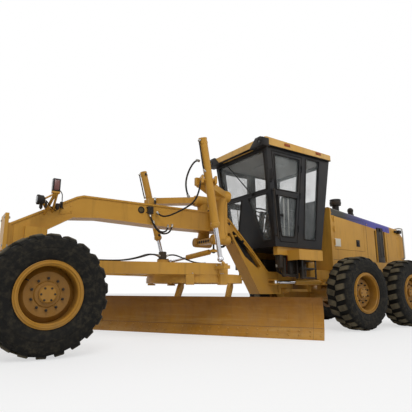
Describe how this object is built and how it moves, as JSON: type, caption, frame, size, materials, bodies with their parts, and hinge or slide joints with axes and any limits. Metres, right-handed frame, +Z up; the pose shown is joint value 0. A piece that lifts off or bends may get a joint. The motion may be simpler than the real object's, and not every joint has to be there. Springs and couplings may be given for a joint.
{
  "type": "motor grader",
  "caption": "Articulated road grader with a turning blade under a long arched front frame, a glazed cab and tandem rear wheels.",
  "frame": {"origin": "on the ground, below the middle of the overall box", "axes": "+X forward, +Y the machine's left, +Z up"},
  "size_m": [8.85, 3.3462, 3.334],
  "materials": {
    "yellow_paint": "gloss",
    "charcoal_paint": "satin",
    "black_steel": "satin",
    "tyre": "matte",
    "chrome": "polished",
    "glass": "clear",
    "black_plastic": "matte",
    "seat_fabric": "matte"
  },
  "bodies": {
    "rear_frame": {"rear_frame": "yellow_paint", "rear_axle": "yellow_paint", "cab_frame": "charcoal_paint", "cab_glass": "glass", "cab_roof": "yellow_paint", "seat": "seat_fabric", "console": "black_plastic", "platforms": "yellow_paint", "hydraulic_pack": "black_steel", "hood": "yellow_paint", "engine_block": "black_steel", "stacks": "black_plastic", "rear_lamps": "black_plastic"},
    "front_frame": {"front_frame": "yellow_paint", "lift_arms": "yellow_paint", "front_lamps": "black_plastic"},
    "front_axle": {"front_axle": "yellow_paint"},
    "lean_bar": {"lean_bar": "black_steel"},
    "tie_rod_end": {"tie_rod_end": "black_steel"},
    "tie_rod": {"tie_rod": "yellow_paint"},
    "drawbar_ball": {"drawbar_ball": "yellow_paint"},
    "drawbar": {"drawbar": "yellow_paint"},
    "circle": {"circle": "yellow_paint"},
    "blade_carrier": {"blade_carrier": "yellow_paint", "side_shift_barrel": "yellow_paint"},
    "moldboard": {"moldboard": "yellow_paint", "side_shift_rod": "chrome"},
    "centre_shift_ball": {"centre_shift_ball": "black_steel"},
    "centre_shift_barrel": {"centre_shift_barrel": "yellow_paint"},
    "centre_shift_rod": {"centre_shift_rod": "chrome"},
    "lift_barrel_left": {"lift_barrel_left": "yellow_paint"},
    "lift_rod_left": {"lift_rod_left": "chrome"},
    "lean_bracket_left": {"lean_bracket_left": "yellow_paint"},
    "knuckle_left": {"knuckle_left": "yellow_paint"},
    "tandem_case_left": {"tandem_case_left": "yellow_paint"},
    "cab_door_left": {"cab_door_left": "charcoal_paint"},
    "hood_door_left": {"hood_door_left": "yellow_paint"},
    "articulation_barrel_left": {"articulation_barrel_left": "yellow_paint"},
    "articulation_rod_left": {"articulation_rod_left": "chrome"},
    "wheel_front_left": {"tyre_front_left": "tyre", "rim_front_left": "yellow_paint"},
    "wheel_middle_left": {"tyre_middle_left": "tyre", "rim_middle_left": "yellow_paint"},
    "wheel_rear_left": {"tyre_rear_left": "tyre", "rim_rear_left": "yellow_paint"},
    "lift_barrel_right": {"lift_barrel_right": "yellow_paint"},
    "lift_rod_right": {"lift_rod_right": "chrome"},
    "lean_bracket_right": {"lean_bracket_right": "yellow_paint"},
    "knuckle_right": {"knuckle_right": "yellow_paint"},
    "tandem_case_right": {"tandem_case_right": "yellow_paint"},
    "cab_door_right": {"cab_door_right": "charcoal_paint"},
    "hood_door_right": {"hood_door_right": "yellow_paint"},
    "articulation_barrel_right": {"articulation_barrel_right": "yellow_paint"},
    "articulation_rod_right": {"articulation_rod_right": "chrome"},
    "wheel_front_right": {"tyre_front_right": "tyre", "rim_front_right": "yellow_paint"},
    "wheel_middle_right": {"tyre_middle_right": "tyre", "rim_middle_right": "yellow_paint"},
    "wheel_rear_right": {"tyre_rear_right": "tyre", "rim_rear_right": "yellow_paint"}
  },
  "joints": [
    {"name": "articulation", "type": "hinge", "parent": "rear_frame", "child": "front_frame", "pos_m": [-0.865, -0.07723, 0.955], "axis": [0, 0, 1], "range_deg": [-20, 20]},
    {"name": "tandem_left", "type": "hinge", "parent": "rear_frame", "child": "tandem_case_left", "pos_m": [-2.365, 0.54277, 0.65], "axis": [0, 1, 0], "range_deg": [-13, 13]},
    {"name": "roll_middle_left", "type": "hinge", "parent": "tandem_case_left", "child": "wheel_middle_left", "pos_m": [-1.597, 0.99977, 0.65], "axis": [0, 1, 0], "continuous": true},
    {"name": "roll_rear_left", "type": "hinge", "parent": "tandem_case_left", "child": "wheel_rear_left", "pos_m": [-3.133, 0.99977, 0.65], "axis": [0, 1, 0], "continuous": true},
    {"name": "tandem_right", "type": "hinge", "parent": "rear_frame", "child": "tandem_case_right", "pos_m": [-2.365, -0.69723, 0.65], "axis": [0, 1, 0], "range_deg": [-13, 13]},
    {"name": "roll_middle_right", "type": "hinge", "parent": "tandem_case_right", "child": "wheel_middle_right", "pos_m": [-1.597, -1.15423, 0.65], "axis": [0, 1, 0], "continuous": true},
    {"name": "roll_rear_right", "type": "hinge", "parent": "tandem_case_right", "child": "wheel_rear_right", "pos_m": [-3.133, -1.15423, 0.65], "axis": [0, 1, 0], "continuous": true},
    {"name": "axle_oscillation", "type": "hinge", "parent": "front_frame", "child": "front_axle", "pos_m": [3.775, -0.07723, 0.78], "axis": [1, 0, 0], "range_deg": [-12, 12]},
    {"name": "lean_left", "type": "hinge", "parent": "front_axle", "child": "lean_bracket_left", "pos_m": [3.775, 0.62277, 0.65], "axis": [1, 0, 0], "range_deg": [-17, 17]},
    {"name": "steer_left", "type": "hinge", "parent": "lean_bracket_left", "child": "knuckle_left", "pos_m": [3.775, 0.79277, 0.65], "axis": [0, 0, 1], "range_deg": [-45, 45]},
    {"name": "roll_front_left", "type": "hinge", "parent": "knuckle_left", "child": "wheel_front_left", "pos_m": [3.775, 0.99977, 0.65], "axis": [0, 1, 0], "continuous": true},
    {"name": "lean_right", "type": "hinge", "parent": "front_axle", "child": "lean_bracket_right", "pos_m": [3.775, -0.77723, 0.65], "axis": [1, 0, 0], "range_deg": [-17, 17]},
    {"name": "steer_right", "type": "hinge", "parent": "lean_bracket_right", "child": "knuckle_right", "pos_m": [3.775, -0.94723, 0.65], "axis": [0, 0, 1], "range_deg": [-45, 45]},
    {"name": "roll_front_right", "type": "hinge", "parent": "knuckle_right", "child": "wheel_front_right", "pos_m": [3.775, -1.15423, 0.65], "axis": [0, 1, 0], "continuous": true},
    {"name": "lean_bar_pin", "type": "hinge", "parent": "lean_bracket_left", "child": "lean_bar", "pos_m": [3.933, 0.52277, 0.8], "axis": [1, 0, 0], "range_deg": [-20.5, 20.5]},
    {"name": "tie_rod_turn", "type": "hinge", "parent": "knuckle_left", "child": "tie_rod_end", "pos_m": [3.605, 0.79277, 0.456], "axis": [0, 0, 1], "range_deg": [-45, 45]},
    {"name": "tie_rod_tilt", "type": "hinge", "parent": "tie_rod_end", "child": "tie_rod", "pos_m": [3.605, 0.79277, 0.456], "axis": [1, 0, 0], "range_deg": [-17, 17]},
    {"name": "drawbar_swing", "type": "hinge", "parent": "front_frame", "child": "drawbar_ball", "pos_m": [3.975, -0.07723, 1], "axis": [0, 0, 1], "range_deg": [-4.5, 4.5]},
    {"name": "drawbar_lift", "type": "hinge", "parent": "drawbar_ball", "child": "drawbar", "pos_m": [3.975, -0.07723, 1], "axis": [0, 1, 0], "range_deg": [-8, 9]},
    {"name": "circle_turn", "type": "hinge", "parent": "drawbar", "child": "circle", "pos_m": [1.225, -0.07723, 0.88], "axis": [0, 0, 1], "continuous": true},
    {"name": "blade_tip", "type": "hinge", "parent": "circle", "child": "blade_carrier", "pos_m": [1.06067, -0.19123, 0.33], "axis": [-0.57, 0.8216, 0], "range_deg": [-5, 40]},
    {"name": "side_shift", "type": "slide", "parent": "blade_carrier", "child": "moldboard", "axis": [-0.57, 0.8216, 0], "range_m": [-0.45, 0.45]},
    {"name": "lift_barrel_left", "type": "hinge", "parent": "front_frame", "child": "lift_barrel_left", "pos_m": [1.60058, 0.91666, 2.28926], "axis": [0.9467, -0.3221, 0], "range_deg": [-11.9, 11.9]},
    {"name": "lift_rod_left", "type": "slide", "parent": "lift_barrel_left", "child": "lift_rod_left", "axis": [0.2294, 0.0796, 0.9701], "range_m": [-0.4174, 0.4174]},
    {"name": "lift_barrel_right", "type": "hinge", "parent": "front_frame", "child": "lift_barrel_right", "pos_m": [1.60058, -1.07112, 2.28926], "axis": [0.9467, 0.3221, 0], "range_deg": [-11.9, 11.9]},
    {"name": "lift_rod_right", "type": "slide", "parent": "lift_barrel_right", "child": "lift_rod_right", "axis": [0.2294, -0.0796, 0.9701], "range_m": [-0.4174, 0.4174]},
    {"name": "centre_shift_turn", "type": "hinge", "parent": "front_frame", "child": "centre_shift_ball", "pos_m": [0.965, 0.11277, 1.338], "axis": [0, 0, 1], "range_deg": [-4.3, 4.3]},
    {"name": "centre_shift_tip", "type": "hinge", "parent": "centre_shift_ball", "child": "centre_shift_barrel", "pos_m": [0.965, 0.11277, 1.338], "axis": [0.8989, 0.4382, 0], "range_deg": [-26.5, 23.6]},
    {"name": "centre_shift_rod", "type": "slide", "parent": "centre_shift_barrel", "child": "centre_shift_rod", "axis": [0.4323, -0.8867, -0.164], "range_m": [-0.2161, 0.2161]},
    {"name": "articulation_barrel_left", "type": "hinge", "parent": "rear_frame", "child": "articulation_barrel_left", "pos_m": [-1.375, 0.41277, 0.84], "axis": [0, 0, 1], "range_deg": [-9.5, 9.5]},
    {"name": "articulation_rod_left", "type": "slide", "parent": "articulation_barrel_left", "child": "articulation_rod_left", "axis": [0.977, -0.2134, 0], "range_m": [-0.1384, 0.1384]},
    {"name": "articulation_barrel_right", "type": "hinge", "parent": "rear_frame", "child": "articulation_barrel_right", "pos_m": [-1.375, -0.56723, 0.84], "axis": [0, 0, 1], "range_deg": [-9.5, 9.5]},
    {"name": "articulation_rod_right", "type": "slide", "parent": "articulation_barrel_right", "child": "articulation_rod_right", "axis": [0.977, 0.2134, 0], "range_m": [-0.1384, 0.1384]},
    {"name": "cab_door_left", "type": "hinge", "parent": "rear_frame", "child": "cab_door_left", "pos_m": [-0.536, 0.60455, 1.51928], "axis": [-0.0736, 0.0597, 0.9955], "range_deg": [0, 85]},
    {"name": "hood_door_left", "type": "hinge", "parent": "rear_frame", "child": "hood_door_left", "pos_m": [-1.738, 0.45977, 1.493], "axis": [0, 0, 1], "range_deg": [-95, 0]},
    {"name": "cab_door_right", "type": "hinge", "parent": "rear_frame", "child": "cab_door_right", "pos_m": [-0.536, -0.75901, 1.51928], "axis": [-0.0736, -0.0597, 0.9955], "range_deg": [-85, 0]},
    {"name": "hood_door_right", "type": "hinge", "parent": "rear_frame", "child": "hood_door_right", "pos_m": [-1.738, -0.61423, 1.493], "axis": [0, 0, 1], "range_deg": [0, 95]}
  ],
  "couplings": [
    {"joint": "lean_right", "follows": "lean_left", "ratio": 1},
    {"joint": "steer_right", "follows": "steer_left", "ratio": 1},
    {"joint": "lean_bar_pin", "follows": "lean_left", "ratio": -1.167},
    {"joint": "tie_rod_turn", "follows": "steer_left", "ratio": -1},
    {"joint": "tie_rod_tilt", "follows": "lean_left", "ratio": -0.805},
    {"joint": "lift_barrel_left", "follows": "drawbar_swing", "ratio": -2.4255},
    {"joint": "lift_rod_left", "follows": "drawbar_lift", "m_per_rad": 2.5935},
    {"joint": "lift_barrel_right", "follows": "drawbar_swing", "ratio": -2.4255},
    {"joint": "lift_rod_right", "follows": "drawbar_lift", "m_per_rad": 2.5935},
    {"joint": "centre_shift_turn", "follows": "drawbar_swing", "ratio": -0.73651},
    {"joint": "centre_shift_tip", "follows": "drawbar_lift", "ratio": -2.8297},
    {"joint": "centre_shift_rod", "follows": "drawbar_swing", "m_per_rad": 2.6245},
    {"joint": "articulation_barrel_left", "follows": "articulation", "ratio": 0.42637},
    {"joint": "articulation_rod_left", "follows": "articulation", "m_per_rad": -0.36788},
    {"joint": "articulation_barrel_right", "follows": "articulation", "ratio": 0.42637},
    {"joint": "articulation_rod_right", "follows": "articulation", "m_per_rad": 0.36788}
  ]
}
